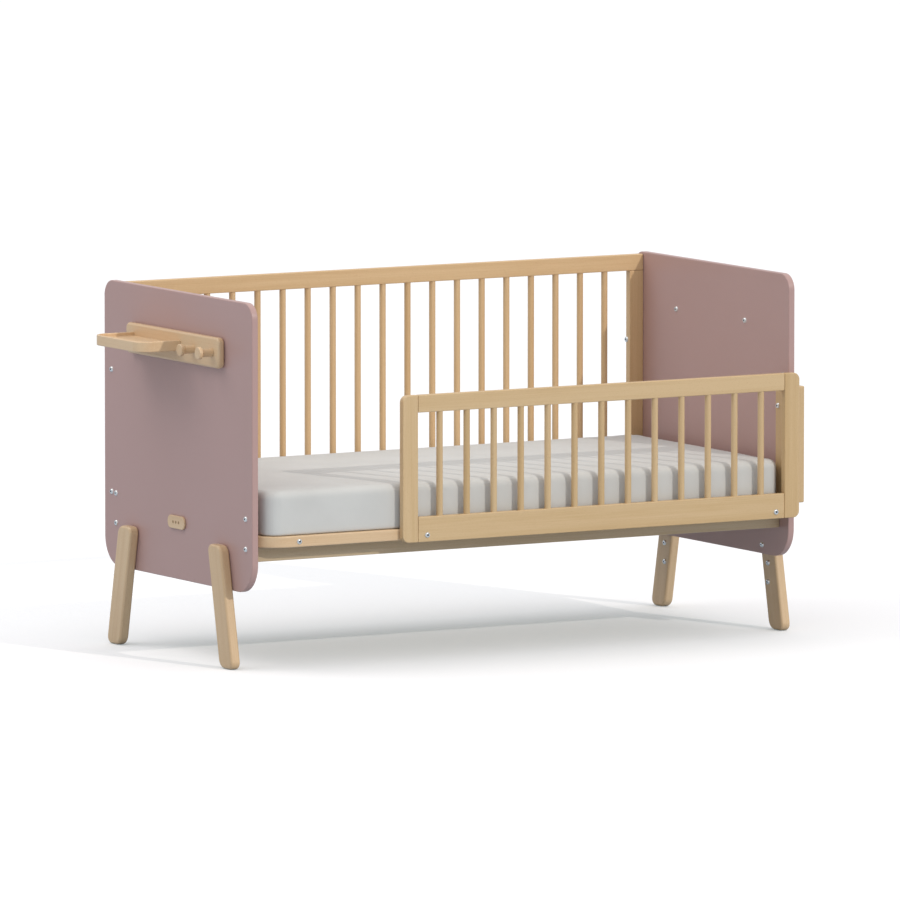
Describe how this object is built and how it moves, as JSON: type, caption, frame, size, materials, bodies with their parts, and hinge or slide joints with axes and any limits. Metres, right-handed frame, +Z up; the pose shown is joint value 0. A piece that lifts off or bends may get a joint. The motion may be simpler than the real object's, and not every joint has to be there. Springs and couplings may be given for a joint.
{
  "type": "toddler bed",
  "caption": "Toddler bed with painted end panels on splayed legs, spindled rear side, part-length front guard rail, loose mattress, and a shelf with pegs on one end.",
  "frame": {"origin": "centre of the bounding box at floor level", "axes": "+X along the bed towards the end without the shelf, +Y to the spindled rear side, +Z up"},
  "size_m": [1.5814, 0.734, 0.835],
  "materials": {
    "panel_paint": "dusty pink paint on board, smooth, matt satin",
    "beech": "solid beech, fine grain, clear satin lacquer",
    "leg_beech": "solid beech, slightly pinker, clear satin lacquer",
    "shelf_beech": "solid beech, rounded and lacquered",
    "deck_ply": "bare plywood",
    "mattress_cover": "plain pale grey-white woven cover",
    "bolt_zinc": "bright zinc plate"
  },
  "bodies": {
    "bed_frame": {"left_end_panel": "panel_paint", "right_end_panel": "panel_paint", "left_front_leg": "leg_beech", "left_rear_leg": "leg_beech", "right_front_leg": "leg_beech", "right_rear_leg": "leg_beech", "rear_top_rail": "beech", "rear_bottom_rail": "beech", "rear_left_stile": "beech", "rear_right_stile": "beech", "rear_spindle_01": "beech", "rear_spindle_02": "beech", "rear_spindle_03": "beech", "rear_spindle_04": "beech", "rear_spindle_05": "beech", "rear_spindle_06": "beech", "rear_spindle_07": "beech", "rear_spindle_08": "beech", "rear_spindle_09": "beech", "rear_spindle_10": "beech", "rear_spindle_11": "beech", "rear_spindle_12": "beech", "rear_spindle_13": "beech", "rear_spindle_14": "beech", "rear_spindle_15": "beech", "rear_spindle_16": "beech", "rear_spindle_17": "beech", "rear_spindle_18": "beech", "rear_spindle_19": "beech", "guard_left_stile": "beech", "guard_right_stile": "beech", "guard_top_rail": "beech", "guard_bottom_rail": "beech", "guard_spindle_01": "beech", "guard_spindle_02": "beech", "guard_spindle_03": "beech", "guard_spindle_04": "beech", "guard_spindle_05": "beech", "guard_spindle_06": "beech", "guard_spindle_07": "beech", "guard_spindle_08": "beech", "guard_spindle_09": "beech", "guard_spindle_10": "beech", "guard_spindle_11": "beech", "guard_spindle_12": "beech", "guard_spindle_13": "beech", "guard_clamp_inner": "beech", "guard_clamp_outer": "beech", "guard_clamp_bolt": "bolt_zinc", "base_front_edge": "beech", "base_front_rail": "beech", "base_rear_rail": "beech", "base_cross_rail": "beech", "mattress_deck": "deck_ply", "shelf_back_plate": "shelf_beech", "shelf_tray": "shelf_beech", "shelf_peg_1": "shelf_beech", "shelf_peg_2": "shelf_beech", "name_plaque": "shelf_beech"},
    "mattress": {"mattress": "mattress_cover"}
  },
  "joints": [
    {"name": "mattress_lift", "type": "slide", "parent": "bed_frame", "child": "mattress", "axis": [0, 0, 1], "range_m": [0, 0.55]}
  ]
}
